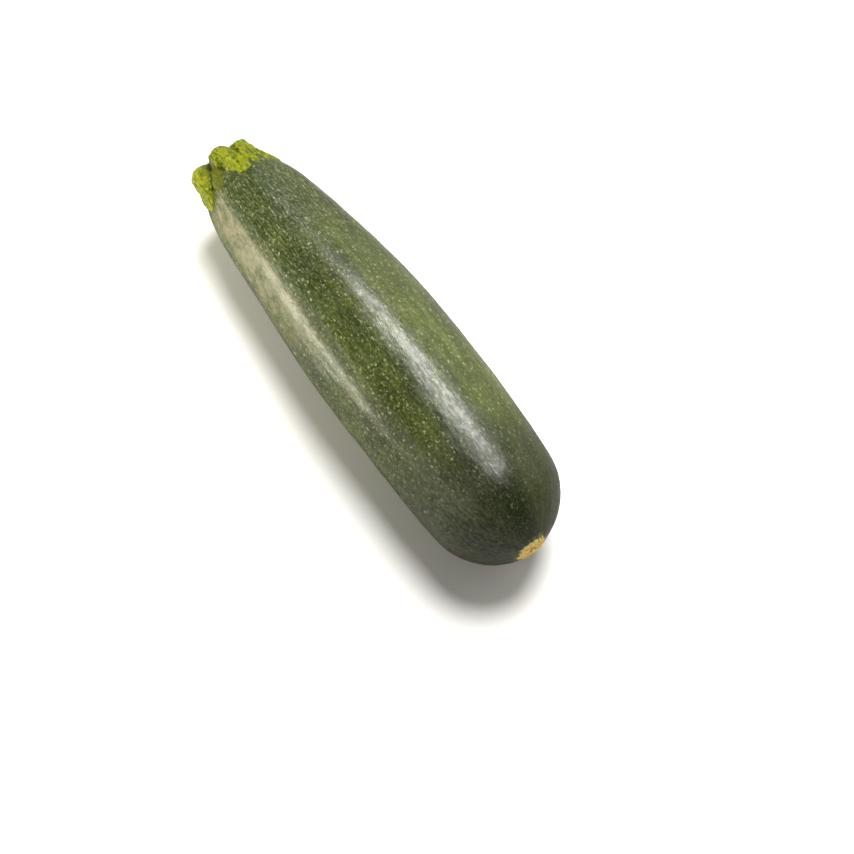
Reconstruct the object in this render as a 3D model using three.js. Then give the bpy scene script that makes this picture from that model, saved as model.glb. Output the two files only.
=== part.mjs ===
// A courgette lying on its side: the whole fruit, and the lobed stub that is left of its stalk.
// Millimetres, +Z up, +X from the stalk to the blossom end. Angles round the fruit are measured
// from straight up (+Z) towards +Y.
import * as THREE from 'three';
import { mergeVertices } from 'three/addons/utils/BufferGeometryUtils.js';

// ---- Driving dimensions ----

const FRUIT_LENGTH = 186;
const BOW = 2.1; // how far the middle of the fruit bends sideways, towards +Y
const BOW_LEAN = 0.8; // below 1 the bend is nearer the stalk, above 1 nearer the tip
const REST_DEPTH = 0.75; // how much the skin is pressed flat where it lies

// Radius of the fruit at named places, each place a share of the way from the neck to the tip.
// LAST_GIRTH is what the flank runs on to; the round blossom end is cut out of it.
const NECK_RADIUS = 15.9;
const COLLAR = { place: 0.06, radius: 19.9 };
const SHOULDER = { place: 0.16, radius: 22.5 };
const WAIST = { place: 0.42, radius: 27.5 };
const HAUNCH = { place: 0.72, radius: 27.5 };
const LAST_GIRTH = 24.2;
const NECK_ROUND = 0.8; // rounding of the neck's rim
const DOME_LENGTH = 24.6; // length of the round blossom end

// Low ribs run from the stalk and fade out towards the belly.
const RIB_COUNT = 8;
const FIRST_RIB = -43; // degrees
const RIB_HEIGHT_AT_NECK = 0.7;
const RIB_HEIGHT_AT_TIP = 0.12;
const RIB_FADE = 55; // distance over which a rib loses most of its height

// The corky scar that the flower left on the tip.
const SCAR_RADIUS = 6.4;
const SCAR_PIT_RADIUS = 1.8;
const SCAR_PIT_DEPTH = 1.2;

// The stalk stub: a core with rounded lobes, cut off square or a little slanted.
const STALK_LENGTH = 14;
const STALK_GAP = 0.3; // clearance between the stalk's foot and the neck
const CORE_RADIUS = 11.2;
const LOBE_OVERHANG = 0.4; // how far the biggest lobe reaches past the neck's rim
const CUT_SLANT = 5; // degrees
const LOBE_BULGE = 0.12; // how much wider a lobe is at its middle than at its foot
const LOBE_TAPER = 0.3; // how much narrower a lobe is at the cut than at its foot
const CUT_ROUND = 1.2; // rounding of the cut's rim

// Each lobe: the angle of its middle, half of the angle that it spans, its size against the biggest.
const LOBES = [
    { angle: -73, half: 33, size: 1 },
    { angle: -8, half: 34, size: 1 },
    { angle: 36, half: 18, size: 0.92 },
    { angle: 68, half: 19, size: 0.85 },
    { angle: 112, half: 28, size: 0.98 },
    { angle: 156, half: 20, size: 0.86 },
    { angle: 196, half: 25, size: 0.95 },
    { angle: 236, half: 20, size: 0.8 },
    { angle: 262, half: 16, size: 0.7 },
];

// Fineness of the meshes.
const FRUIT_SEGMENTS = 64;
const FLANK_STEPS = 26;
const DOME_STEPS = 8;
const STALK_SEGMENTS = 96;
const STALK_STEPS = 6;

const skinMaterial = new THREE.MeshStandardMaterial({ color: 0x46552b, roughness: 0.35, metalness: 0 });
const stalkMaterial = new THREE.MeshStandardMaterial({ color: 0x9ba63a, roughness: 0.7, metalness: 0 });

// ---- Helpers ----

// A smooth curve through [place, value] pairs, read at one place.
function smoothValue(pairs, place) {
    const last = pairs.length - 1;
    const slopes = pairs.map((pair, i) => {
        const before = pairs[Math.max(i - 1, 0)];
        const after = pairs[Math.min(i + 1, last)];
        return (after[1] - before[1]) / (after[0] - before[0]);
    });
    let i = 0;
    while (i < last - 1 && place > pairs[i + 1][0]) {
        i += 1;
    }
    const span = pairs[i + 1][0] - pairs[i][0];
    const t = (place - pairs[i][0]) / span;
    const a = (1 + 2 * t) * (1 - t) ** 2 * pairs[i][1];
    const b = t * (1 - t) ** 2 * span * slopes[i];
    const c = t * t * (3 - 2 * t) * pairs[i + 1][1];
    const d = t * t * (t - 1) * span * slopes[i + 1];
    return a + b + c + d;
}

// A lathed solid lying along +X, with each of its points then moved by shape(point).
function turnedAlongX(outline, segments, shape) {
    const geometry = new THREE.LatheGeometry(outline, segments);
    geometry.rotateZ(-Math.PI / 2);
    geometry.deleteAttribute('normal');
    geometry.deleteAttribute('uv');
    const merged = mergeVertices(geometry, 1e-3);
    const positions = merged.attributes.position;
    const point = new THREE.Vector3();
    for (let i = 0; i < positions.count; i += 1) {
        point.fromBufferAttribute(positions, i);
        shape(point);
        positions.setXYZ(i, point.x, point.y, point.z);
    }
    merged.computeVertexNormals();
    return merged;
}

const degreesRound = (point) => THREE.MathUtils.radToDeg(Math.atan2(point.y, point.z));

// ---- Fruit ----

const GIRTH = [
    [0, NECK_RADIUS],
    [COLLAR.place, COLLAR.radius],
    [SHOULDER.place, SHOULDER.radius],
    [WAIST.place, WAIST.radius],
    [HAUNCH.place, HAUNCH.radius],
    [1, LAST_GIRTH],
];

const domeStart = FRUIT_LENGTH - DOME_LENGTH;

// The share of its girth that the fruit keeps at x: all of it, until the round end starts.
function domeShare(x) {
    const t = THREE.MathUtils.clamp((x - domeStart) / DOME_LENGTH, 0, 1);
    return Math.sqrt(1 - t * t);
}

const fruitRadius = (x) => smoothValue(GIRTH, x / FRUIT_LENGTH) * domeShare(x);

// Half of the outline, from the middle of the neck to the middle of the scar.
function fruitOutline() {
    const outline = [new THREE.Vector2(0, 0), new THREE.Vector2(NECK_RADIUS - NECK_ROUND, 0)];
    for (let i = 0; i < FLANK_STEPS; i += 1) {
        const x = THREE.MathUtils.lerp(NECK_ROUND, domeStart, i / FLANK_STEPS);
        outline.push(new THREE.Vector2(fruitRadius(x), x));
    }
    // The dome ends where it has closed in to the scar's rim.
    const rimShare = SCAR_RADIUS / smoothValue(GIRTH, 1);
    const lastTurn = Math.acos(rimShare);
    for (let i = 0; i <= DOME_STEPS; i += 1) {
        const turn = (lastTurn * i) / DOME_STEPS;
        const x = domeStart + DOME_LENGTH * Math.sin(turn);
        outline.push(new THREE.Vector2(fruitRadius(x), x));
    }
    outline.push(new THREE.Vector2(SCAR_PIT_RADIUS, FRUIT_LENGTH));
    outline.push(new THREE.Vector2(0, FRUIT_LENGTH - SCAR_PIT_DEPTH));
    return outline;
}

function ribHeight(x, degrees) {
    const fade = Math.exp(-x / RIB_FADE);
    const height = THREE.MathUtils.lerp(RIB_HEIGHT_AT_TIP, RIB_HEIGHT_AT_NECK, fade);
    const wave = Math.cos(THREE.MathUtils.degToRad((degrees - FIRST_RIB) * RIB_COUNT));
    return (height * (wave - 1)) / 2;
}

// The plane that the fruit lies on, below its own axis.
let widest = 0;
for (const point of fruitOutline()) {
    widest = Math.max(widest, point.x);
}
const restLevel = REST_DEPTH - widest;

function shapeFruit(point) {
    const radius = Math.hypot(point.y, point.z);
    if (radius > SCAR_RADIUS) {
        const swell = 1 + ribHeight(point.x, degreesRound(point)) / radius;
        point.y *= swell;
        point.z *= swell;
    }
    // The bow: none at either end, most at the middle.
    const place = THREE.MathUtils.clamp(point.x / FRUIT_LENGTH, 0, 1);
    point.y += BOW * Math.sin(Math.PI * place ** BOW_LEAN);
    point.z = Math.max(point.z, restLevel);
}

const fruit = new THREE.Mesh(turnedAlongX(fruitOutline(), FRUIT_SEGMENTS, shapeFruit), skinMaterial);
fruit.name = 'fruit';

// ---- Stalk ----

const lobeReach = NECK_RADIUS + LOBE_OVERHANG - CORE_RADIUS;

// Radius of the stalk at an angle: the core, and whichever lobe stands out most there.
function stalkRadius(degrees) {
    let reach = 0;
    for (const lobe of LOBES) {
        const off = THREE.MathUtils.euclideanModulo(degrees - lobe.angle + 180, 360) - 180;
        const rise = Math.sqrt(Math.max(0, 1 - (off / lobe.half) ** 2));
        reach = Math.max(reach, lobe.size * rise);
    }
    return CORE_RADIUS + lobeReach * reach;
}

// The lathe's outline is a plain stub of radius 1, which shapeStalk then widens to the lobes.
function stalkOutline() {
    const outline = [new THREE.Vector2(0, -STALK_LENGTH)];
    for (let i = 0; i <= STALK_STEPS; i += 1) {
        const x = THREE.MathUtils.lerp(-STALK_LENGTH, -STALK_GAP, i / STALK_STEPS);
        outline.push(new THREE.Vector2(1, x));
    }
    outline.push(new THREE.Vector2(0, -STALK_GAP));
    return outline;
}

function shapeStalk(point) {
    const degrees = degreesRound(point);
    const along = (-point.x - STALK_GAP) / (STALK_LENGTH - STALK_GAP); // 0 at the foot, 1 at the cut
    const bulge = LOBE_BULGE * Math.sin(Math.PI * along);
    const share = 1 + bulge - LOBE_TAPER * along ** 3;
    const rounding = Math.max(0, CUT_ROUND - (STALK_LENGTH + point.x));
    const radius = CORE_RADIUS + (stalkRadius(degrees) - CORE_RADIUS) * share - rounding;
    point.y *= radius;
    point.z *= radius;
    point.x += along * point.y * Math.tan(THREE.MathUtils.degToRad(CUT_SLANT));
}

const stalk = new THREE.Mesh(turnedAlongX(stalkOutline(), STALK_SEGMENTS, shapeStalk), stalkMaterial);
stalk.name = 'stalk';

// ---- The whole courgette, with its origin at the middle of its underside ----

const courgette = new THREE.Group();
courgette.add(fruit, stalk);
const extent = new THREE.Box3().setFromObject(courgette);
const middle = extent.getCenter(new THREE.Vector3());
courgette.position.set(-middle.x, -middle.y, -extent.min.z);

export default courgette;
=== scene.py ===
# %% [markdown]
# # A courgette lying on its side
# A courgette is one grown fruit and the stub of the stalk that it hung from. Nothing on it was cut
# from a sheet or turned on a lathe, so its charm is in small unevenness: low ribs that start at the
# stalk, soft dents, a peppering of pale freckles under a waxy skin, knuckly lobes on the stalk and
# a corky scar where the flower fell off. The imported CAD model gives the fruit's place and length.
# This file loads it first and builds the fine shapes and the finishes from there.

# %% Load the imported frame
import math

import bmesh
import bpy
from mathutils import Matrix, Vector


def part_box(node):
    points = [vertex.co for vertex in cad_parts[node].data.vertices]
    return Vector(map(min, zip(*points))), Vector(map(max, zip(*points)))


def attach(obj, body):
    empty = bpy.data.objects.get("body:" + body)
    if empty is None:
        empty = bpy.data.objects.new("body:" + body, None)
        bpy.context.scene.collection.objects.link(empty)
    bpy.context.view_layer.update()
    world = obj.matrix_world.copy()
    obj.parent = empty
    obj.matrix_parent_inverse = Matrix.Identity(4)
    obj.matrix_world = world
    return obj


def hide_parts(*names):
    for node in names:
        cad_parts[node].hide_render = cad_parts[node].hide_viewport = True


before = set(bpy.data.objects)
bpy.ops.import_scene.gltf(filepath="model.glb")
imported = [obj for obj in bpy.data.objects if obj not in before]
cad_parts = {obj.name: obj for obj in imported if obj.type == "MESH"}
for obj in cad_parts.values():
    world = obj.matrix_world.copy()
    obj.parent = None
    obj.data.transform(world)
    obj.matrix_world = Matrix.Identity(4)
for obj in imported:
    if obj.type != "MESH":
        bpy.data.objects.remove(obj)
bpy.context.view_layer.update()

# %% [markdown]
# ## Where the fruit lies
# The fruit lies along +X, with its neck at the low end and its tip at the high end. Its own axis is
# a little bowed towards +Y. The middle of the flat neck face in the CAD model gives the place where
# that axis starts, so the fine fruit follows the plain one wherever it lies.

# %% Read the axis and the length from the frame
MM = 0.001
TINY = 0.01 * MM  # close enough to be the same place

fruit_low, fruit_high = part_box("fruit")
neck_x = fruit_low.x
fruit_length = fruit_high.x - fruit_low.x
neck_points = [v.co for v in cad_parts["fruit"].data.vertices if v.co.x < neck_x + TINY]
axis_y = (min(p.y for p in neck_points) + max(p.y for p in neck_points)) / 2
axis_z = (min(p.z for p in neck_points) + max(p.z for p in neck_points)) / 2
print(f"fruit {fruit_length / MM:.1f} mm long, axis at y {axis_y / MM:.2f}, z {axis_z / MM:.2f} mm")

# %% [markdown]
# ## The fruit's outline
# A courgette is a club: a narrow neck, quick shoulders, a long flank that swells to the belly and a
# round blossom end. A few named girths joined by a smooth curve hold all of that, and the round end
# is a quarter of an ellipse that closes the last stretch. Each place is a share of the length.

# %% Girths, bow and round end
NOSE = (-0.045, 9.4 * MM)  # the skin goes on under the stalk's lobes, and shows between them
NECK = (0.0, 15.9 * MM)
COLLAR = (0.06, 19.9 * MM)
SHOULDER = (0.16, 22.5 * MM)
WAIST = (0.42, 27.5 * MM)
HAUNCH = (0.72, 27.5 * MM)
LAST_GIRTH = (1.0, 24.2 * MM)
GIRTHS = [NOSE, NECK, COLLAR, SHOULDER, WAIST, HAUNCH, LAST_GIRTH]
DOME_LENGTH = 24.6 * MM
BOW = 2.1 * MM
BOW_LEAN = 0.8


def smooth_value(pairs, place):
    """Reads a smooth curve through (place, value) pairs at one place."""
    places = [p for p, _ in pairs]
    values = [v for _, v in pairs]
    last = len(pairs) - 1
    slopes = []
    for i in range(last + 1):
        before, after = max(i - 1, 0), min(i + 1, last)
        slopes.append((values[after] - values[before]) / (places[after] - places[before]))
    i = 0
    while i < last - 1 and place > places[i + 1]:
        i += 1
    span = places[i + 1] - places[i]
    t = (place - places[i]) / span
    start = (1 + 2 * t) * (1 - t) ** 2 * values[i] + t * (1 - t) ** 2 * span * slopes[i]
    end = t * t * (3 - 2 * t) * values[i + 1] + t * t * (t - 1) * span * slopes[i + 1]
    return start + end


def fruit_radius(x):
    """Radius of the fruit at a distance x from its neck."""
    into_dome = min(max((x - (fruit_length - DOME_LENGTH)) / DOME_LENGTH, 0), 1)
    return smooth_value(GIRTHS, x / fruit_length) * math.sqrt(1 - into_dome**2)


def axis_at(x):
    """The point of the fruit's own axis at a distance x from its neck."""
    place = min(max(x / fruit_length, 0), 1)
    return Vector((neck_x + x, axis_y + BOW * math.sin(math.pi * place**BOW_LEAN), axis_z))


print(f"belly {2 * fruit_radius(0.55 * fruit_length) / MM:.1f} mm thick")

# %% [markdown]
# ## The fruit, ring by ring
# A lathe or Blender's Spin would give a straight body, and this one is bowed. So it is drawn out by
# hand: one circle at the nose is extruded again and again, and each new ring is moved along the
# bowed axis and scaled to its girth. The flower scar is made the same way: its rings are a low
# raised rim, a flat disc and a pit in its middle.

# %% Hand tools for edit mode
def fresh_start():
    """Leaves edit mode and deselects everything, the CAD nodes included."""
    if bpy.context.object and bpy.context.object.mode == "EDIT":
        bpy.ops.object.mode_set(mode="OBJECT")
    bpy.ops.object.select_all(action="DESELECT")


def only_active(piece):
    """Makes one piece the only selected one, and the active one."""
    fresh_start()
    piece.select_set(True)
    bpy.context.view_layer.objects.active = piece


def new_piece(name):
    """Names the primitive that was just added, and puts its place into its mesh."""
    piece = bpy.context.object
    piece.name = piece.data.name = name
    bpy.ops.object.transform_apply(location=True, rotation=True, scale=True)
    return piece


def select_where(piece, test):
    """In edit mode, selects exactly the points that pass a test of their place."""
    bpy.ops.mesh.select_all(action="DESELECT")
    shape = bmesh.from_edit_mesh(piece.data)
    for point in shape.verts:
        if test(point.co):
            point.select_set(True)
    shape.select_flush_mode()
    bmesh.update_edit_mesh(piece.data)


# %% Extrude the fruit
SEGMENTS = 40
FLANK_RINGS = 18
DOME_RINGS = 6
NOSE_RINGS = (1.0, 0.78, 0.5, 0.22)  # as shares of the nose's length
SCAR_RADIUS = 5.9 * MM
DOME_STOP = 1.15 * SCAR_RADIUS  # radius of the round end's last ring
# The scar, as (how far behind the tip, radius) in mm: the last of the skin, the raised rim, the
# disc's outer and inner edge, the pit's edge and its wall.
SCAR_RINGS = [(0.75, 6.0), (0.4, 5.5), (0.12, 4.6), (0.1, 2.5), (0.25, 1.6), (0.5, 0.9)]
PIT_DEPTH = 0.7 * MM


def fruit_rings():
    """Distance from the neck and radius of every ring, from the nose to the pit of the scar."""
    dome_start = fruit_length - DOME_LENGTH
    nose = [NOSE[0] * fruit_length * share for share in NOSE_RINGS]
    flank = [dome_start * i / FLANK_RINGS for i in range(FLANK_RINGS)]
    last_turn = math.acos(DOME_STOP / LAST_GIRTH[1])
    turns = [last_turn * i / DOME_RINGS for i in range(DOME_RINGS + 1)]
    dome = [dome_start + DOME_LENGTH * math.sin(turn) for turn in turns]
    rings = [(x, fruit_radius(x)) for x in nose + flank + dome]
    return rings + [(fruit_length - behind * MM, radius * MM) for behind, radius in SCAR_RINGS]


fresh_start()
rings = fruit_rings()
first_x, first_radius = rings[0]
bpy.ops.mesh.primitive_circle_add(
    vertices=SEGMENTS, radius=first_radius, location=axis_at(first_x), rotation=(0, math.pi / 2, 0)
)
fruit = new_piece("courgette_fruit")
bpy.ops.object.mode_set(mode="EDIT")
bpy.ops.mesh.select_all(action="SELECT")
for (x, radius), (next_x, next_radius) in zip(rings, rings[1:]):
    step = axis_at(next_x) - axis_at(x)
    bpy.ops.mesh.extrude_region_move(TRANSFORM_OT_translate={"value": step})
    wider = next_radius / radius
    bpy.ops.transform.resize(value=(1, wider, wider), center_override=axis_at(next_x))
print(f"{len(rings)} rings of {SEGMENTS} points")

# %% [markdown]
# ## Closing the two ends
# The rings leave a hole at each end. A last extrude that is merged to one point closes each: at the
# tip it is the bottom of the scar's pit, and at the nose it is hidden inside the stalk. Filling the
# hole with one many-sided face would be quicker, but it would pucker when it is subdivided.

# %% Close both ends
to_pit = fruit_length - PIT_DEPTH - rings[-1][0]
bpy.ops.mesh.extrude_region_move(TRANSFORM_OT_translate={"value": (to_pit, 0, 0)})
bpy.ops.mesh.merge(type="CENTER")
nose_x = axis_at(first_x).x
select_where(fruit, lambda co: abs(co.x - nose_x) < TINY)
bpy.ops.mesh.extrude_region_move(TRANSFORM_OT_translate={"value": (-0.5 * MM, 0, 0)})
bpy.ops.mesh.merge(type="CENTER")
bpy.ops.mesh.select_all(action="SELECT")
bpy.ops.mesh.normals_make_consistent(inside=False)
bpy.ops.object.mode_set(mode="OBJECT")
print(f"closed: {len(fruit.data.vertices)} points, {len(fruit.data.polygons)} faces")

# %% [markdown]
# ## Smoothing the cage
# The rings so far are a coarse cage. A Subdivision Surface modifier rounds it, and it is applied,
# because the ribs and dents that come next need real points to move. Three levels put the points
# about half a millimetre apart round the belly and a little over one along it, which is fine enough
# for orange peel.

# %% Smooth the fruit with a subdivision surface
def apply_modifier(piece, kind, **settings):
    """Adds a modifier to a piece, sets it up and applies it."""
    only_active(piece)
    modifier = piece.modifiers.new(kind.title(), kind)
    for name, value in settings.items():
        setattr(modifier, name, value)
    bpy.ops.object.modifier_apply(modifier=modifier.name)


apply_modifier(fruit, "SUBSURF", levels=3, render_levels=3)
print(f"fruit has {len(fruit.data.polygons)} faces")

# %% [markdown]
# ## Ribs
# Low ribs run from under the stalk and fade out towards the belly. They are painted as a vertex
# group, strongest at the neck, and a Displace modifier lifts what is painted. They could be creased
# edges of the cage instead, but those would have to follow its forty columns of points, and real
# ribs are spaced unevenly.

# %% Angles round the fruit
def round_angle(co, x):
    """Angle round the fruit's axis in degrees, 0 on top and positive towards +Y."""
    centre = axis_at(x)
    return math.degrees(math.atan2(co.y - centre.y, co.z - centre.z))


# %% Paint and lift the ribs
RIBS = [-43, -1, 47, 88, 137, 178, 222, 270]
RIB_STRENGTH, RIB_MID = 1.4 * MM, 0.45  # a full weight is lifted by strength * (1 - mid level)
RIB_FADE = 60 * MM
RIB_LEFT = 0.16  # share of the height that is left far from the neck
RIB_SOFTNESS = 0.24  # rounding of a crest, as a share of half the way to the next rib


def paint(piece, name, weight_of):
    """Makes a vertex group from a weight function of each point."""
    group = piece.vertex_groups.new(name=name)
    for point in piece.data.vertices:
        weight = weight_of(point.co)
        if weight > 0.001:
            group.add([point.index], weight, "REPLACE")


def crest_share(angle):
    """1 on a rib, nearly 0 half way to the next. Squared, so that the skin between is flat."""
    before = min((angle - rib) % 360 for rib in RIBS)
    after = min((rib - angle) % 360 for rib in RIBS)
    off = 2 * min(before, after) / max(before + after, 1)
    return (1 - math.hypot(off, RIB_SOFTNESS) + RIB_SOFTNESS) ** 2


def rib_weight(co):
    x = co.x - neck_x
    fade = RIB_LEFT + (1 - RIB_LEFT) * math.exp(-max(x, 0) / RIB_FADE)
    at_tip = min(max((fruit_length - x) / DOME_LENGTH, 0), 1)
    return crest_share(round_angle(co, x)) * fade * at_tip


paint(fruit, "ribs", rib_weight)
apply_modifier(fruit, "DISPLACE", vertex_group="ribs", strength=RIB_STRENGTH, mid_level=RIB_MID)
print(f"{len(RIBS)} ribs, {RIB_STRENGTH * (1 - RIB_MID) / MM:.2f} mm high at the neck")

# %% [markdown]
# ## A broad flat side
# One stretch of skin, between two ribs near the stalk, grew flatter than the rest, which gives the
# neck a faceted look. It is painted like the ribs and pushed in with a negative Displace. Moving a
# few rings by hand would flatten it too, but a painted weight can die out softly on every side.

# %% Flatten the broad facet between two ribs
FACET = (RIBS[0], RIBS[-1] - 360)  # the two ribs on either side of it, in degrees
FACET_DEPTH = 0.9 * MM
FACET_END = 105 * MM  # how far along the fruit the facet has died out


def facet_weight(co):
    """How far the facet lies inside the round skin: 1 in its middle, 0 at its two ribs."""
    x = co.x - neck_x
    half = abs(FACET[0] - FACET[1]) / 2
    off = (round_angle(co, x) - sum(FACET) / 2 + 180) % 360 - 180
    if abs(off) >= half:
        return 0
    share = 1 - (off / half) ** 2
    fade = 1 - min(max(x / FACET_END, 0), 1)
    return share * min(share * 3, 1) * fade * fade * (3 - 2 * fade)


paint(fruit, "facet", facet_weight)
apply_modifier(fruit, "DISPLACE", vertex_group="facet", strength=-FACET_DEPTH, mid_level=0)
print(f"facet from {FACET[1]} to {FACET[0]} degrees, gone {FACET_END / MM:.0f} mm from the neck")

# %% [markdown]
# ## Dents and orange peel
# Two Displace modifiers with cloud textures give the slow dents that a thumb feels and the finer
# orange-peel unevenness. The clouds are stretched along the fruit by an empty that is long in X,
# because a courgette grows lengthwise and its dents do too. Sculpting them by hand would also work,
# but clouds are a fixed pattern and come out the same each time.

# %% Dents and orange peel
def clouds(name, size, depth=2):
    """A cloud texture whose lumps are about as big as size."""
    texture = bpy.data.textures.new(name, "CLOUDS")
    texture.noise_scale = size
    texture.noise_depth = depth
    return texture


def lengthwise_guide(stretch):
    """An empty that stretches a texture along X. It is deleted once the modifiers are applied."""
    fresh_start()
    bpy.ops.object.empty_add(location=axis_at(0))
    guide = bpy.context.object
    guide.scale = (stretch, 1, 1)
    bpy.context.view_layer.update()
    return guide


guide = lengthwise_guide(2.6)
for name, size, height in (("dents", 15 * MM, 0.9 * MM), ("orange peel", 3.2 * MM, 0.13 * MM)):
    apply_modifier(
        fruit, "DISPLACE", texture=clouds(name, size), strength=height, mid_level=0.68,
        texture_coords="OBJECT", texture_coords_object=guide,
    )
bpy.data.objects.remove(guide)

# %% [markdown]
# ## The corky scar
# Where the flower fell off, the skin has healed with a crumbly tan cork. Its rings were extruded
# above, and here a fine cloud pattern, held to the scar by a vertex group, breaks up its surface.

# %% Roughen the corky scar
scar_centre = axis_at(fruit_length)


def scar_weight(co):
    from_middle = math.hypot(co.y - scar_centre.y, co.z - scar_centre.z)
    at_tip = co.x > scar_centre.x - 3 * MM
    return float(at_tip) * min(max((SCAR_RADIUS * 1.05 - from_middle) / (0.6 * MM), 0), 1)


paint(fruit, "scar", scar_weight)
apply_modifier(
    fruit, "DISPLACE", texture=clouds("cork", 1.1 * MM), strength=0.55 * MM, mid_level=0.6,
    vertex_group="scar",
)

# %% [markdown]
# ## Where it lies
# A courgette's own weight presses a narrow patch of its skin flat. Every point that came out below
# the surface is scaled to height nought in one go. A boolean with a slab would do it too, but it
# would cut the mesh anew along the edge.

# %% Press it flat where it lies
only_active(fruit)
bpy.ops.object.mode_set(mode="EDIT")
select_where(fruit, lambda co: co.z < 0)
bpy.ops.transform.resize(value=(1, 1, 0), center_override=(0, 0, 0))
bpy.ops.object.mode_set(mode="OBJECT")
bpy.ops.object.shade_smooth()
print("fruit, mm:", [round(side / MM, 1) for side in fruit.dimensions])

# %% [markdown]
# ## The stalk's lobes
# The stub is a bundle of swollen, knuckly lobes round a fibrous core, cut off with a knife. Valleys
# between them are deep enough for the fruit's own dark skin to climb up in. Each lobe is built up
# like clay, as a chain of balls from its foot to the cut, and no two are alike. A voxel remesh
# welds them into one body with natural creases, and a bisect makes the knife's cut. A lobed outline
# drawn out in one go would be quicker, but its flutes would be straight and all of one depth.

# %% Lay out the lobes
# Each lobe has four stations: its toe over the skin, its foot, half way up and near the cut. A
# station is an angle round the axis in degrees, how far out the lobe reaches and the radius of
# its balls, both in mm.
LOBES = [
    [(-80, 17.0, 4.2), (-78, 17.0, 5.4), (-74, 16.2, 5.2), (-70, 16.2, 5.8)],
    [(-39, 17.8, 3.0), (-38, 16.4, 3.4), (-35, 13.8, 3.4), (-33, 11.8, 3.0)],
    [(1, 18.5, 3.6), (1, 17.4, 4.8), (-3, 16.4, 5.0), (-9, 16.0, 5.4)],
    [(25, 16.8, 2.6), (25, 15.8, 3.0), (22, 14.0, 3.2), (18, 12.6, 3.2)],
    [(46, 18.2, 2.8), (45, 16.9, 3.6), (42, 15.8, 4.0), (38, 15.4, 4.4)],
    [(76, 18.0, 2.8), (74, 16.8, 4.0), (72, 14.0, 3.2), (70, 10.6, 2.4)],
    [(110, 17.5, 4.0), (110, 16.8, 5.2), (108, 15.4, 4.6), (112, 14.8, 4.8)],
    [(152, 17.3, 3.6), (153, 16.4, 4.6), (156, 14.4, 3.8), (160, 13.6, 3.8)],
    [(200, 17.5, 4.0), (199, 16.8, 5.2), (196, 15.4, 4.6), (200, 15.0, 5.0)],
    [(238, 17.3, 3.6), (237, 16.4, 4.6), (234, 14.2, 3.6), (236, 13.8, 3.8)],
]
STATIONS = (2.8 * MM, -1.2 * MM, -4.8 * MM, -8.8 * MM)
BALLS = 10
CORE_RADIUS, CORE_LENGTH, CORE_MIDDLE = 8.8 * MM, 24 * MM, -10 * MM
LEAN = -0.9 * MM  # how far the stalk leans towards -Y by the time it reaches the cut
CUT_AT = -11.4 * MM
CUT_TILT = (math.radians(5), math.radians(-9))  # longer towards -Y, and longer on top


def around(angle, radius, x, sideways=0.0):
    """A point at an angle round the fruit's axis."""
    turn = math.radians(angle)
    return axis_at(0) + Vector((x, radius * math.sin(turn) + sideways, radius * math.cos(turn)))


def along_lobe(stations, part, share):
    """Angle, reach or ball radius of a lobe, at a share of the way from its toe to its top."""
    places = [(at - STATIONS[0]) / (STATIONS[-1] - STATIONS[0]) for at in STATIONS]
    return smooth_value([(at, station[part]) for at, station in zip(places, stations)], share)


fresh_start()
bpy.ops.mesh.primitive_cylinder_add(
    vertices=48, radius=CORE_RADIUS, depth=CORE_LENGTH,
    location=axis_at(0) + Vector((CORE_MIDDLE, LEAN * 0.6, 0)), rotation=(0, math.pi / 2, 0),
)
stalk = new_piece("courgette_stalk")
lumps = []
for stations in LOBES:
    for i in range(BALLS):
        share = i / (BALLS - 1)
        angle, reach, thick = (along_lobe(stations, part, share) for part in range(3))
        x = STATIONS[0] + (STATIONS[-1] - STATIONS[0]) * share
        place = around(angle, (reach - thick) * MM, x, LEAN * share)
        fresh_start()
        bpy.ops.mesh.primitive_uv_sphere_add(
            segments=20, ring_count=12, radius=thick * MM, location=place
        )
        lumps.append(new_piece("lump"))
only_active(stalk)
for lump in lumps:
    lump.select_set(True)
bpy.ops.object.join()
print(f"{len(lumps)} balls in {len(LOBES)} lobes, joined to the core")

# %% Weld and cut the stalk
VOXEL = 0.36 * MM

apply_modifier(stalk, "REMESH", mode="VOXEL", voxel_size=VOXEL)
apply_modifier(stalk, "SMOOTH", factor=0.5, iterations=3)


def slice_off(piece, place, normal):
    """Cuts away what lies beyond a plane, and closes the cut."""
    only_active(piece)
    bpy.ops.object.mode_set(mode="EDIT")
    bpy.ops.mesh.select_all(action="SELECT")
    bpy.ops.mesh.bisect(plane_co=place, plane_no=normal, use_fill=True, clear_outer=True)
    bpy.ops.object.mode_set(mode="OBJECT")


cut_normal = Vector((-1, math.tan(CUT_TILT[0]), math.tan(CUT_TILT[1]))).normalized()
slice_off(stalk, axis_at(0) + Vector((CUT_AT, 0, 0)), cut_normal)
apply_modifier(stalk, "REMESH", mode="VOXEL", voxel_size=VOXEL)
apply_modifier(stalk, "SMOOTH", factor=0.5, iterations=5)
print(f"stalk welded and cut, {len(stalk.data.polygons)} faces")

# %% [markdown]
# ## Knuckles, fibres and pebbles
# The lobes swell and pinch along their length, ridges of fibre run down them, and their skin is
# pebbled. Three cloud displacements do this, from coarse to fine, the middle one stretched along
# the stalk. Clouds are fixed patterns, so the stalk comes out the same each time.

# %% Crinkle the stalk
def past_the_cut(co):
    """How far a point lies beyond the plane of the knife's cut; below zero on the stalk's sides."""
    return (co - axis_at(0) - Vector((CUT_AT, 0, 0))).dot(cut_normal)


def side_weight(co):
    """Full on the stalk's sides, less on the cut face and on the toes that lie on the skin."""
    toe = min(max((co.x - neck_x + 1 * MM) / (3 * MM), 0), 1)
    return min(max(-past_the_cut(co) / (1.5 * MM), 0.2), 1) * (1 - 0.6 * toe)


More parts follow.
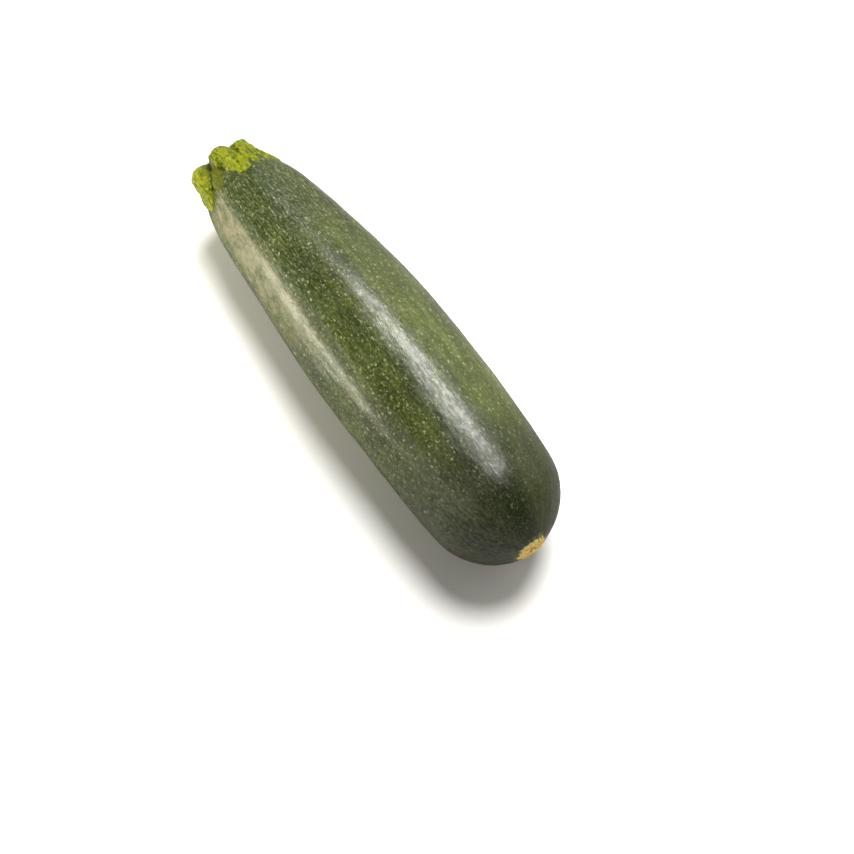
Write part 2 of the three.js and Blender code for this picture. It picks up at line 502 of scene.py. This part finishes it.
paint(stalk, "sides", side_weight)
apply_modifier(
    stalk, "DISPLACE", texture=clouds("knuckles", 3.6 * MM, 1), strength=1.8 * MM, mid_level=0.5,
    vertex_group="sides",
)
guide = lengthwise_guide(3.0)
apply_modifier(
    stalk, "DISPLACE", texture=clouds("fibres", 1.4 * MM), strength=1.0 * MM, mid_level=0.55,
    texture_coords="OBJECT", texture_coords_object=guide, vertex_group="sides",
)
bpy.data.objects.remove(guide)
apply_modifier(
    stalk, "DISPLACE", texture=clouds("pebbles", 1.0 * MM, 1), strength=0.65 * MM, mid_level=0.55,
    vertex_group="sides",
)
only_active(stalk)
bpy.ops.object.shade_smooth()
stalk_size = [round(side / MM, 1) for side in stalk.dimensions]
print(f"stalk has {len(stalk.data.polygons)} faces, {stalk_size} mm")

# %% [markdown]
# ## How deep each crease is
# The material paints a highlight on the crests and shade down in the creases, so it has to know
# which is which. A copy of the stalk is smoothed, and how far each point lies below the smooth copy
# is stored as an attribute. The shader's own pointiness would do much the same, but it only works
# in
# Cycles, and it changes with how fine the mesh is.

# %% Measure its creases
def store_creases(piece, name, iterations):
    """Stores how deep each point lies in a crease, in mm. Crests are below zero."""
    twin = piece.copy()
    twin.data = piece.data.copy()
    bpy.context.collection.objects.link(twin)
    apply_modifier(twin, "SMOOTH", factor=0.5, iterations=iterations)
    layer = piece.data.attributes.new(name, "FLOAT", "POINT")
    for point, smoothed in zip(piece.data.vertices, twin.data.vertices):
        layer.data[point.index].value = (smoothed.co - point.co).dot(point.normal) / MM
    bpy.data.meshes.remove(twin.data)


store_creases(stalk, "crease", 30)
depths = sorted(value.value for value in stalk.data.attributes["crease"].data)
print(f"creases from {depths[0]:.2f} mm, the sharpest crest, to {depths[-1]:.2f} mm, the deepest")

# %% [markdown]
# ## A map that follows the fruit
# Freckles and streaks grow along a courgette, bend with its bow and crowd together at both ends. A
# pattern on plain object coordinates would ignore all that. So each point of the skin carries its
# own address: how far it is along the skin from the neck, and where it is round a cylinder of one
# fixed radius. Patterns read that address. Near the tip the real girth shrinks but the cylinder's
# doesn't, which squeezes the freckles into rays round the scar, as on the real fruit.

# %% Store the skin map, in millimetres
MAP_RADIUS = 25.0


def skin_address(co):
    """Distance along the skin, and the place round a cylinder of fixed radius, all in mm."""
    x = co.x - neck_x
    centre = axis_at(x)
    across, high = co.y - centre.y, co.z - centre.z
    radius = math.hypot(across, high)
    dome_start = fruit_length - DOME_LENGTH
    along = x
    if x > dome_start:
        turn = math.atan2((x - dome_start) / DOME_LENGTH, radius / LAST_GIRTH[1])
        along = dome_start + turn * (DOME_LENGTH + LAST_GIRTH[1]) / 2
    angle = math.atan2(across, high)
    return along / MM, MAP_RADIUS * math.sin(angle), MAP_RADIUS * math.cos(angle)


def store_map(piece, name, address):
    """Writes an address for every point of a piece as a vector attribute."""
    layer = piece.data.attributes.new(name, "FLOAT_VECTOR", "POINT")
    for i, point in enumerate(piece.data.vertices):
        layer.data[i].vector = address(point.co)


store_map(fruit, "skin_map", skin_address)


def stalk_address(co):
    """Where a point is, seen from the middle of the neck, in mm."""
    return tuple((co - axis_at(0)) / MM)


store_map(stalk, "stalk_map", stalk_address)
for piece in (fruit, stalk):
    maps = [layer.name for layer in piece.data.attributes if "map" in layer.name]
    print(piece.name, "carries", maps)

# %% [markdown]
# ## Building nodes in code
# A node tree is drawn in the editor as boxes and wires. In code the same thing is a few helpers:
# one that adds a node and plugs in its inputs, a few for arithmetic, one each for noise, for a soft
# ramp and for mixing two colours, and two that make and use a node group.

# %% Tools for node trees
def colour(red, green, blue):
    """A colour as it looks on a screen, 0 to 255, as the linear numbers that shaders use."""
    linear = []
    for shade in (red / 255, green / 255, blue / 255):
        linear.append(((shade + 0.055) / 1.055) ** 2.4 if shade > 0.04 else shade / 12.92)
    return (*linear, 1.0)


def add(tree, kind, sockets=None, **settings):
    """Adds a node. Each socket gets either a plain value or the output that feeds it."""
    node = tree.nodes.new(kind)
    for name, value in settings.items():
        setattr(node, name, value)
    for name, value in (sockets or {}).items():
        if isinstance(value, bpy.types.NodeSocket):
            tree.links.new(value, node.inputs[name])
        else:
            node.inputs[name].default_value = value
    return node


def math_node(tree, operation, first, second=0.0):
    return add(tree, "ShaderNodeMath", {0: first, 1: second}, operation=operation).outputs[0]


def times(tree, first, second):
    return math_node(tree, "MULTIPLY", first, second)


def plus(tree, first, second):
    return math_node(tree, "ADD", first, second)


def vector_node(tree, operation, sockets, output=0):
    """Arithmetic on a place, a direction or a colour, all three numbers at once."""
    return add(tree, "ShaderNodeVectorMath", sockets, operation=operation).outputs[output]


def noise_at(tree, place, scale, detail, roughness=0.5):
    """The outputs of a noise texture: one value, Fac, and one of three numbers, Color."""
    sockets = {"Vector": place, "Scale": scale, "Detail": detail, "Roughness": roughness}
    return add(tree, "ShaderNodeTexNoise", sockets).outputs


def between(tree, value, low, high, to_low=0.0, to_high=1.0):
    """Value from low to high becomes to_low to to_high, with soft ends."""
    ends = {"From Min": low, "From Max": high, "To Min": to_low, "To Max": to_high}
    sockets = {"Value": value, **ends}
    ramp = add(tree, "ShaderNodeMapRange", sockets, interpolation_type="SMOOTHSTEP")
    return ramp.outputs["Result"]


def mix(tree, mask, first, second):
    """First colour where the mask is 0, second where it is 1."""
    node = add(tree, "ShaderNodeMix", data_type="RGBA")
    for name, value in (("Factor_Float", mask), ("A_Color", first), ("B_Color", second)):
        socket = next(s for s in node.inputs if s.identifier == name)
        if isinstance(value, bpy.types.NodeSocket):
            tree.links.new(value, socket)
        else:
            socket.default_value = value
    return next(s for s in node.outputs if s.identifier == "Result_Color")


def new_group(name, inputs, outputs):
    """A shader node group. An input with a usual value is a float, one with None a vector."""
    tree = bpy.data.node_groups.new(name, "ShaderNodeTree")
    for label, value in inputs.items():
        kind = "NodeSocketVector" if value is None else "NodeSocketFloat"
        socket = tree.interface.new_socket(label, in_out="INPUT", socket_type=kind)
        if value is not None:
            socket.default_value = value
    for label in outputs:
        tree.interface.new_socket(label, in_out="OUTPUT", socket_type="NodeSocketFloat")
    return tree, tree.nodes.new("NodeGroupInput").outputs, tree.nodes.new("NodeGroupOutput").inputs


def use(tree, group, **sockets):
    """Puts a node group into a tree and returns its outputs."""
    node = tree.nodes.new("ShaderNodeGroup")
    node.node_tree = group
    for name, value in sockets.items():
        if isinstance(value, bpy.types.NodeSocket):
            tree.links.new(value, node.inputs[name])
        else:
            node.inputs[name].default_value = value
    return node.outputs


def stretched(tree, vector, stretch, size):
    """A pattern address divided by size, and by stretch too along the fruit."""
    along = times(tree, stretch, size)
    scale = add(tree, "ShaderNodeCombineXYZ", {"X": along, "Y": size, "Z": size}).outputs[0]
    return vector_node(tree, "DIVIDE", {0: vector, 1: scale})


# %% [markdown]
# ## Effects that skin and stalk share
# Four small node groups make most of what varies over the courgette. Freckles are random spots,
# each of its own size. Streaks are noise pulled out along the fruit. Patches are slow changes of
# tone. Grain is the height of fine bumps and pits, which breaks up the gloss. Sizes are in
# millimetres, except a freckle's, which is a share of the spacing, so the same effect can be used
# fine on one piece and coarse on another.

# %% Freckles
freckles, given, result = new_group(
    "freckles", {"Map": None, "Stretch": 1.6, "Spacing": 2.0, "Size": 0.25, "Share": 0.7}, ["Mask"]
)
place = stretched(freckles, given["Map"], given["Stretch"], given["Spacing"])
noise = noise_at(freckles, place, 2.2, 1.0)["Color"]
wobble = vector_node(freckles, "SUBTRACT", {0: noise, 1: (0.5, 0.5, 0.5)})
wobble = vector_node(freckles, "SCALE", {0: wobble, "Scale": 0.8})
place = vector_node(freckles, "ADD", {0: place, 1: wobble})
cells = add(freckles, "ShaderNodeTexVoronoi", {"Vector": place, "Scale": 1.0}, feature="F1")
chance = add(freckles, "ShaderNodeSeparateColor", {"Color": cells.outputs["Color"]}).outputs
edge = times(freckles, given["Size"], between(freckles, chance["Red"], 0.0, 1.0, 0.5, 1.3))
core = times(freckles, edge, 0.35)
spot = between(freckles, cells.outputs["Distance"], edge, core)
there = math_node(freckles, "LESS_THAN", chance["Green"], given["Share"])
strength = between(freckles, chance["Blue"], 0.0, 1.0, 0.45, 1.0)
mask = times(freckles, times(freckles, spot, there), strength)
freckles.links.new(mask, result["Mask"])

# %% Streaks
streaks, given, result = new_group(
    "streaks", {"Map": None, "Stretch": 8.0, "Width": 1.5, "Low": 0.45, "High": 0.65}, ["Mask"]
)
place = stretched(streaks, given["Map"], given["Stretch"], given["Width"])
noise = noise_at(streaks, place, 1.0, 3.0)["Fac"]
streaks.links.new(between(streaks, noise, given["Low"], given["High"]), result["Mask"])

# %% Patches
patches, given, result = new_group("patches", {"Map": None, "Stretch": 2.0, "Size": 20.0}, ["Tone"])
place = stretched(patches, given["Map"], given["Stretch"], given["Size"])
noise = noise_at(patches, place, 1.0, 2.0)["Fac"]
patches.links.new(between(patches, noise, 0.35, 0.65), result["Tone"])

# %% Grain
grain, given, result = new_group(
    "grain", {"Map": None, "Stretch": 1.3, "Size": 0.8, "Pits": 0.5}, ["Height"]
)
place = stretched(grain, given["Map"], given["Stretch"], given["Size"])
noise = noise_at(grain, place, 1.0, 4.0, 0.6)["Fac"]
pits = add(grain, "ShaderNodeTexVoronoi", {"Vector": place, "Scale": 0.7}, feature="SMOOTH_F1")
sunk = between(grain, pits.outputs["Distance"], 0.0, 0.45, 1.0, 0.0)
sunk = times(grain, sunk, given["Pits"])
grain.links.new(math_node(grain, "SUBTRACT", noise, sunk), result["Height"])
print("node groups:", [group.name for group in (freckles, streaks, patches, grain)])

# %% [markdown]
# ## The skin
# Courgette skin is a deep olive green under a thin wax. Pale freckles in three sizes cover it, most
# near the stalk and fewest at the tip, and faint streaks run lengthwise. All of it is one material,
# built up in coats like paint: the green first with painted shade at the tip, then the bands, the
# painted reflection on the facet, the freckles and the scar.

# %% [markdown]
# ## A shader to start from
# Every material here ends in one Principled shader, so one helper makes that. What is the same all
# over, such as the index of refraction, is set on the shader itself, and only what varies is wired
# in.

# %% Start a material
def new_material(name):
    """A material with an empty tree, its shader and its output joined."""
    material = bpy.data.materials.new(name)
    material.use_nodes = True
    tree = material.node_tree
    tree.nodes.clear()
    shader = tree.nodes.new("ShaderNodeBsdfPrincipled")
    output = tree.nodes.new("ShaderNodeOutputMaterial")
    tree.links.new(shader.outputs["BSDF"], output.inputs["Surface"])
    return material, tree, shader


# %% Green of the skin, before freckles
skin, tree, shader = new_material("courgette_skin")
skin_map = add(tree, "ShaderNodeAttribute", attribute_name="skin_map").outputs["Vector"]
along = add(tree, "ShaderNodeSeparateXYZ", {"Vector": skin_map}).outputs["X"]
length_mm = fruit_length / MM

slow = use(tree, patches, Map=skin_map, Stretch=2.0, Size=11.0)["Tone"]
tone = mix(tree, slow, colour(50, 58, 18), colour(80, 90, 38))
cool = use(tree, patches, Map=skin_map, Stretch=1.6, Size=19.0)["Tone"]
tone = mix(tree, times(tree, cool, 0.5), tone, colour(50, 70, 40))
broad = use(tree, streaks, Map=skin_map, Stretch=9.0, Width=4.0, Low=0.44, High=0.66)["Mask"]
tone = mix(tree, times(tree, broad, 0.35), tone, colour(100, 108, 48))
near_neck = between(tree, along, length_mm * 0.5, length_mm * 0.02)
tone = mix(tree, times(tree, near_neck, 0.5), tone, colour(50, 62, 32))
fine = use(tree, streaks, Map=skin_map, Stretch=6.0, Width=0.55, Low=0.5, High=0.62)["Mask"]
fine = times(tree, fine, between(tree, near_neck, 0.0, 1.0, 0.15, 0.6))
tone = mix(tree, fine, tone, colour(122, 130, 94))
mottle = use(tree, patches, Map=skin_map, Stretch=1.4, Size=0.9)["Tone"]
tone = mix(tree, times(tree, mottle, 0.6), tone, colour(24, 30, 4))
to_tip = between(tree, along, length_mm * 0.68, length_mm * 0.86)
# Painted shade: the skin darkens towards the tip, where it turns away from the light.
tone = mix(tree, times(tree, to_tip, 0.84), tone, colour(15, 21, 0))

# %% [markdown]
# ## Bands along the fruit
# The colour isn't the same all round. A lighter sage green band is painted along the flank that
# faces the key and the fill, a painted sheen broken up by the streaks. The tip is dusty, and a grey
# sheen is painted on its -Y side. The angle round the fruit, worked out from the skin map, says
# where a band starts and ends. It jumps from one end of its range to the other along the underside,
# so every band has to fade out before that, or a seam shows. Vertex paint could do it without that
# care, but a band of angles stays soft at any size of mesh.

# %% Angle round the fruit, for the bands that run along it
across = add(tree, "ShaderNodeSeparateXYZ", {"Vector": skin_map}).outputs
angle = math_node(tree, "ARCTAN2", across["Y"], across["Z"])
# Painted sheen: a lighter band along the +Y flank, where the fill light falls.
painted_flank_sheen = times(tree, between(tree, angle, 0.1, 0.45), between(tree, angle, 1.5, 1.0))
painted_flank_sheen = times(tree, painted_flank_sheen, between(tree, to_tip, 0.0, 1.0, 1.0, 0.4))
painted_flank_sheen = times(tree, painted_flank_sheen, between(tree, near_neck, 0.0, 1.0, 0.36, 0.06))
painted_flank_sheen = times(tree, painted_flank_sheen, between(tree, broad, 0.0, 1.0, 0.65, 1.1))
tone = mix(tree, painted_flank_sheen, tone, colour(116, 124, 68))
# Painted sheen: a grey sheen on the tip's -Y side, broken up by patches.
painted_tip_sheen = use(tree, patches, Map=skin_map, Stretch=1.8, Size=1.3)["Tone"]
on_left = times(tree, between(tree, angle, -0.1, -0.8), between(tree, angle, -2.9, -1.9))
painted_tip_sheen = times(tree, between(tree, painted_tip_sheen, 0.0, 1.0, 0.35, 1.0), on_left)
painted_tip_sheen = times(tree, painted_tip_sheen, to_tip)
tone = mix(tree, times(tree, painted_tip_sheen, 0.48), tone, colour(98, 102, 80))
dust = noise_at(tree, skin_map, 1.6, 3.0)["Fac"]
dust = times(tree, between(tree, dust, 0.48, 0.66), to_tip)
tone = mix(tree, times(tree, dust, 0.4), tone, colour(80, 86, 56))

# %% [markdown]
# ## Painted reflection on the facet
# A pale warm band of painted reflection covers the flat side between the two ribs, broken up in
# places to the green. It fills the facet from edge to edge, and fades out along the fruit.

# %% Painted pale reflection on the broad facet
inner, outer = (math.radians(rib) for rib in FACET)
inside_inner = between(tree, angle, inner, inner - 0.1)
inside_outer = between(tree, angle, outer - 0.05, outer + 0.3)
on_facet = times(tree, inside_inner, inside_outer)
reflection_breakup = use(tree, patches, Map=skin_map, Stretch=1.2, Size=5.0)["Tone"]
painted_facet_reflection = times(tree, on_facet, between(tree, along, length_mm * 0.5, length_mm * 0.2))
painted_facet_reflection = times(tree, painted_facet_reflection, between(tree, along, 2.0, 9.0))
painted_facet_reflection = times(tree, painted_facet_reflection, between(tree, reflection_breakup, 0.0, 1.0, 0.2, 0.6))
warm = use(tree, patches, Map=skin_map, Stretch=1.0, Size=2.4)["Tone"]
# Painted reflection: a pale warm band over the facet.
tone = mix(tree, painted_facet_reflection, tone, mix(tree, warm, colour(124, 130, 96), colour(150, 138, 112)))

# %% Freckles
share = between(tree, along, length_mm * 0.98, length_mm * 0.6, 0.7, 0.95)
bright = between(tree, along, length_mm * 0.92, length_mm * 0.7, 0.35, 1.0)
bright = times(tree, bright, between(tree, painted_facet_reflection, 0.0, 0.6, 1.0, 0.35))
for stretch, spacing, size, strength, pale in (
    (1.6, 1.8, 0.22, 0.8, colour(168, 172, 134)),
    (1.9, 1.1, 0.3, 0.75, colour(150, 156, 118)),
    (2.4, 0.8, 0.36, 0.6, colour(128, 136, 96)),
):
    spots = use(
        tree, freckles, Map=skin_map, Stretch=stretch, Spacing=spacing, Size=size, Share=share
    )
    mask = times(tree, times(tree, spots["Mask"], bright), strength)
    tone = mix(tree, mask, tone, pale)

# %% [markdown]
# ## The scar's colour
# The cork is mixed in by distance from the middle of the scar. Noise added to that distance tears
# the edge, and yellow-green rays show where the rim splits the skin.

# %% Scar and rays
place = add(tree, "ShaderNodeTexCoord").outputs["Object"]
offset = vector_node(tree, "SUBTRACT", {0: place, 1: tuple(scar_centre)})
flat = vector_node(tree, "MULTIPLY", {0: offset, 1: (0, 1 / MM, 1 / MM)})
from_middle = vector_node(tree, "LENGTH", {0: flat}, "Value")
at_tip = between(tree, along, length_mm * 0.9, length_mm * 0.95)
torn = noise_at(tree, flat, 0.55, 3.0)["Fac"]
ragged = plus(tree, from_middle, between(tree, torn, 0.3, 0.7, -0.7, 0.7))
scar_mm = SCAR_RADIUS / MM
scar_mask = times(tree, between(tree, ragged, scar_mm + 0.35, scar_mm - 0.1), at_tip)
rays = use(tree, streaks, Map=skin_map, Stretch=5.0, Width=2.2, Low=0.42, High=0.56)["Mask"]
near_scar = times(tree, between(tree, ragged, scar_mm * 1.4, scar_mm * 1.0), at_tip)
tone = mix(tree, times(tree, rays, near_scar), tone, colour(126, 138, 40))
crumbs = between(tree, noise_at(tree, flat, 0.9, 4.0, 0.65)["Fac"], 0.35, 0.65)
cork = mix(tree, crumbs, colour(188, 148, 62), colour(244, 214, 128))
pit_mask = between(tree, ragged, 1.8, 0.8)
cork = mix(tree, pit_mask, cork, colour(196, 152, 72))
tone = mix(tree, scar_mask, tone, cork)

# %% [markdown]
# ## Wax
# A thin wax gives the skin its soft shine. Handling smears it, so the roughness changes in patches
# and streaks, the crest of the rib beside the facet is rubbed matt, and the cork has none at all.
# The finest bumps are left to a Bump node, since at this scale real points would run to millions.

# %% Wax and grain
bumps = use(tree, grain, Map=skin_map, Stretch=2.4, Size=1.2, Pits=0.35)["Height"]
bump = add(tree, "ShaderNodeBump", {"Strength": 0.6, "Distance": 0.13 * MM, "Height": bumps})
wax = use(tree, patches, Map=skin_map, Stretch=1.5, Size=7.0)["Tone"]
smear = use(tree, streaks, Map=skin_map, Stretch=3.0, Width=1.0, Low=0.38, High=0.64)["Mask"]
rough = between(tree, plus(tree, wax, smear), 0.0, 2.0, 0.2, 0.4)
rough = plus(tree, rough, times(tree, painted_tip_sheen, 0.12))
rough = plus(tree, rough, times(tree, to_tip, 0.04))
below_rib = between(tree, angle, inner - 0.16, inner - 0.03)
above_rib = between(tree, angle, inner + 0.14, inner + 0.03)
rubbed = times(tree, below_rib, above_rib)
rough = plus(tree, rough, times(tree, rubbed, 0.35))
rough = plus(tree, rough, times(tree, scar_mask, 0.4))
tree.links.new(tone, shader.inputs["Base Color"])
tree.links.new(rough, shader.inputs["Roughness"])
tree.links.new(bump.outputs["Normal"], shader.inputs["Normal"])
shader.inputs["IOR"].default_value = 1.42
fruit.data.materials.append(skin)
print(f"skin: {len(tree.nodes)} nodes")

# %% [markdown]
# ## The stalk's flesh
# Fresh cut stalk is moist and yellow-green, with fibres running along it. A painted highlight
# lightens the swollen crests, and painted olive shade darkens the creases, the valleys between the
# lobes and the lobe that is sunk between two thick ones. The knife's cut shows the fibres end on, a
# little browner and drier. The stored creases and the distance from the stalk's own axis say which
# is which.

# %% Stalk material
# The lobes stand in a cone: its radius at the neck, in mm, and what it loses for each mm of height.
CONE_FOOT, CONE_SLOPE = 16.4, 0.42

flesh, tree, shader = new_material("stalk_flesh")
stalk_map = add(tree, "ShaderNodeAttribute", attribute_name="stalk_map").outputs["Vector"]
crease = add(tree, "ShaderNodeAttribute", attribute_name="crease").outputs["Fac"]
parts = add(tree, "ShaderNodeSeparateXYZ", {"Vector": stalk_map}).outputs
flat = add(tree, "ShaderNodeCombineXYZ", {"X": 0.0, "Y": parts["Y"], "Z": parts["Z"]}).outputs[0]
from_axis = vector_node(tree, "LENGTH", {0: flat}, "Value")
cone = plus(tree, times(tree, parts["X"], CONE_SLOPE), CONE_FOOT)
standing_out = between(tree, math_node(tree, "SUBTRACT", from_axis, cone), -3.0, 0.0)
slow = use(tree, patches, Map=stalk_map, Stretch=1.5, Size=3.0)["Tone"]
tone = mix(tree, slow, colour(92, 104, 0), colour(138, 142, 4))
dapple = use(tree, patches, Map=stalk_map, Stretch=1.3, Size=1.1)["Tone"]
tone = mix(tree, times(tree, dapple, 0.55), tone, colour(70, 88, 0))
fibre = use(tree, streaks, Map=stalk_map, Stretch=4.0, Width=0.9, Low=0.48, High=0.64)["Mask"]
tone = mix(tree, times(tree, fibre, 0.4), tone, colour(150, 154, 24))
spots = use(tree, freckles, Map=stalk_map, Stretch=1.2, Spacing=1.5, Size=0.3, Share=0.6)["Mask"]
tone = mix(tree, times(tree, spots, 0.5), tone, colour(178, 180, 76))
# Painted highlight: the crests are lightened to a pale yellow.
tone = mix(tree, between(tree, crease, -0.06, -0.3, 0.0, 0.5), tone, colour(178, 180, 62))
# Painted shade: dark olive down between the lobes, where they don't stand out of the cone.
tone = mix(tree, between(tree, standing_out, 0.0, 1.0, 0.85, 0.0), tone, colour(54, 68, 2))
# Painted shade: dark olive in the creases.
tone = mix(tree, between(tree, crease, 0.02, 0.3, 0.0, 0.8), tone, colour(52, 62, 0))
angle = math_node(tree, "ARCTAN2", parts["Y"], parts["Z"])
sunk_angle = math.radians(LOBES[1][0][0])  # the thin lobe that is sunk between two thick ones
from_sunk = math_node(tree, "ABSOLUTE", math_node(tree, "SUBTRACT", angle, sunk_angle))
# Painted shade: the sunk lobe is darkened, as if shaded by its neighbours.
tone = mix(tree, between(tree, from_sunk, 0.12, 0.3, 0.7, 0.0), tone, colour(56, 62, 10))

# %% [markdown]
# ## The knife's cut
# The cut face is found by its plane, the same one that the bisect used. Its fibres are streaks laid
# out by direction from the stalk's middle, which makes them a star, with the ends of the fibre
# bundles as dots and a greener rim under the skin.

# %% The cut face and the stalk's gloss
towards_cut = vector_node(tree, "DOT_PRODUCT", {0: stalk_map, 1: tuple(cut_normal)}, "Value")
cut_mm = CUT_AT / MM * cut_normal.x
on_cut = between(tree, towards_cut, cut_mm - 0.9, cut_mm - 0.3)
outwards = vector_node(tree, "NORMALIZE", {0: flat})
spokes = use(tree, streaks, Map=outwards, Stretch=1.0, Width=0.16, Low=0.42, High=0.62)["Mask"]
ends = use(tree, freckles, Map=stalk_map, Stretch=1.0, Spacing=0.9, Size=0.35, Share=0.8)["Mask"]
cut_tone = mix(tree, spokes, colour(116, 110, 16), colour(150, 142, 44))
cut_tone = mix(tree, times(tree, ends, 0.5), cut_tone, colour(166, 158, 74))
cut_tone = mix(tree, between(tree, from_axis, 8.0, 13.0, 0.0, 0.6), cut_tone, colour(138, 144, 16))
tone = mix(tree, on_cut, tone, cut_tone)
bumps = use(tree, grain, Map=stalk_map, Stretch=2.0, Size=0.6, Pits=0.3)["Height"]
bump = add(tree, "ShaderNodeBump", {"Strength": 0.6, "Distance": 0.2 * MM, "Height": bumps})
tree.links.new(tone, shader.inputs["Base Color"])
tree.links.new(between(tree, slow, 0.0, 1.0, 0.36, 0.55), shader.inputs["Roughness"])
tree.links.new(bump.outputs["Normal"], shader.inputs["Normal"])
shader.inputs["IOR"].default_value = 1.26
stalk.data.materials.append(flesh)
print(f"stalk flesh: {len(tree.nodes)} nodes")

# %% [markdown]
# ## The studio's floor
# A sheet of white paper, far bigger than the view so that no edge of it shows. Paper is never one
# flat white, so a fine noise varies it a little. What the waxy skin mirrors is a dimmer paper than
# the eye sees, because a real studio's floor ends and this one doesn't, and the shade under a
# courgette would be lost.

# %% Floor
FLOOR_SIDE = 6.0
fresh_start()
bpy.ops.mesh.primitive_plane_add(size=FLOOR_SIDE, location=(0, 0, 0))
floor = new_piece("floor")
paper, tree, shader = new_material("studio_paper")
place = add(tree, "ShaderNodeTexCoord").outputs["Object"]
fleck = noise_at(tree, place, 900.0, 2.0)["Fac"]
paper_tone = mix(tree, fleck, colour(247, 247, 246), colour(252, 252, 252))
mirrored = add(tree, "ShaderNodeLightPath").outputs["Is Glossy Ray"]
paper_tone = mix(tree, mirrored, paper_tone, colour(150, 150, 150))
tree.links.new(paper_tone, shader.inputs["Base Color"])
shader.inputs["Roughness"].default_value = 0.7
floor.data.materials.append(paper)

# %% [markdown]
# ## The camera
# The camera stands high up, on the -Y side and towards the blossom end, and looks steeply down
# through a long lens, which keeps the fruit's sides nearly parallel. It aims at the middle of the
# fruit's length, then a little to one side, so that the fruit sits in the frame as it should. Depth
# of field stays off.

# %% Camera
AZIMUTH, ELEVATION = math.radians(54.29), math.radians(64.64)
DISTANCE = 0.8797
LENS_MM, SENSOR_MM = 100, 36
AIM_RIGHT, AIM_UP = 16.5 * MM, -24.3 * MM

level = math.cos(ELEVATION)
back = Vector((math.sin(AZIMUTH) * level, -math.cos(AZIMUTH) * level, math.sin(ELEVATION)))
right = Vector((math.cos(AZIMUTH), math.sin(AZIMUTH), 0))
up = back.cross(right)
chord_middle = Vector((neck_x + fruit_length / 2, axis_y, axis_z))
aim = chord_middle + right * AIM_RIGHT + up * AIM_UP
fresh_start()
bpy.ops.object.camera_add(location=aim + back * DISTANCE)
camera = bpy.context.object
camera.rotation_euler = back.to_track_quat("Z", "Y").to_euler()
camera.data.lens = LENS_MM
camera.data.sensor_width = SENSOR_MM
bpy.context.scene.camera = camera
print("camera at, m:", [round(v, 3) for v in camera.location])

# %% [markdown]
# ## The lights
# A soft key light from above shapes the ribs and gives a short soft shadow, a wide fill opens up
# the far flank, and a small warm softbox low at the side draws a long warm highlight on the flat
# side. The two big ones are suns with a wide disc: area lights that size would have to stand metres
# away.

# %% Lights
def softbox(name, centre, facing, size, glow):
    """A rectangular softbox. Size is along the fruit, then across it; glow is its radiance."""
    fresh_start()
    bpy.ops.object.light_add(type="AREA", location=centre)
    light = bpy.context.object
    light.name = name
    light.data.shape = "RECTANGLE"
    light.data.size, light.data.size_y = size
    light.data.energy = glow * math.pi * size[0] * size[1]
    back_way = -Vector(facing).normalized()
    long_side = (Vector((1, 0, 0)) - back_way * back_way.x).normalized()
    turned = Matrix((long_side, back_way.cross(long_side), back_way)).transposed()
    light.matrix_world = Matrix.Translation(centre) @ turned.to_4x4()
    return light


def far_softbox(name, way, spread, strength, tint):
    """A big softbox far off, made as a sun with a wide disc, so that it lights the floor evenly."""
    fresh_start()
    bpy.ops.object.light_add(type="SUN", rotation=Vector(way).to_track_quat("Z", "Y").to_euler())
    bpy.context.object.name = name
    light = bpy.context.object.data
    light.angle = spread
    light.energy = strength
    light.color = tint


far_softbox("key", (-0.27, 0.32, 0.90), math.radians(30), 4.2, (1, 0.985, 0.95))
far_softbox("fill", (-0.20, 0.85, 0.50), math.radians(90), 1.1, (1, 1, 0.88))
side_light = softbox("side", (-0.125, -0.18, 0.052), (0.35, 0.6, 0.7), (0.17, 0.14), 11.5)
side_light.data.color = (1, 0.93, 0.76)

# %% [markdown]
# ## The backdrop
# The world is plain white to the eye, and far dimmer as a light, so that it lifts the shadows
# without flattening the ribs. The Light Path node tells the two apart.

# %% Backdrop
AS_A_LIGHT, TO_THE_EYE = 0.14, 1.0

world = bpy.data.worlds.new("studio")
bpy.context.scene.world = world
world.use_nodes = True
tree = world.node_tree
backdrop = tree.nodes["Background"]
backdrop.inputs["Color"].default_value = (1, 1, 1, 1)
seen = add(tree, "ShaderNodeLightPath").outputs["Is Camera Ray"]
glow = between(tree, seen, 0.0, 1.0, AS_A_LIGHT, TO_THE_EYE)
tree.links.new(glow, backdrop.inputs["Strength"])
bpy.context.scene.view_settings.view_transform = "Standard"

# %% [markdown]
# ## Joining the frame
# Each finished piece rides on the one body and stands in for its plain CAD node.

# %% Join the frame
for piece, node, slot in ((fruit, "fruit", "skin"), (stalk, "stalk", "stalk")):
    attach(piece, "root")
    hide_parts(node)
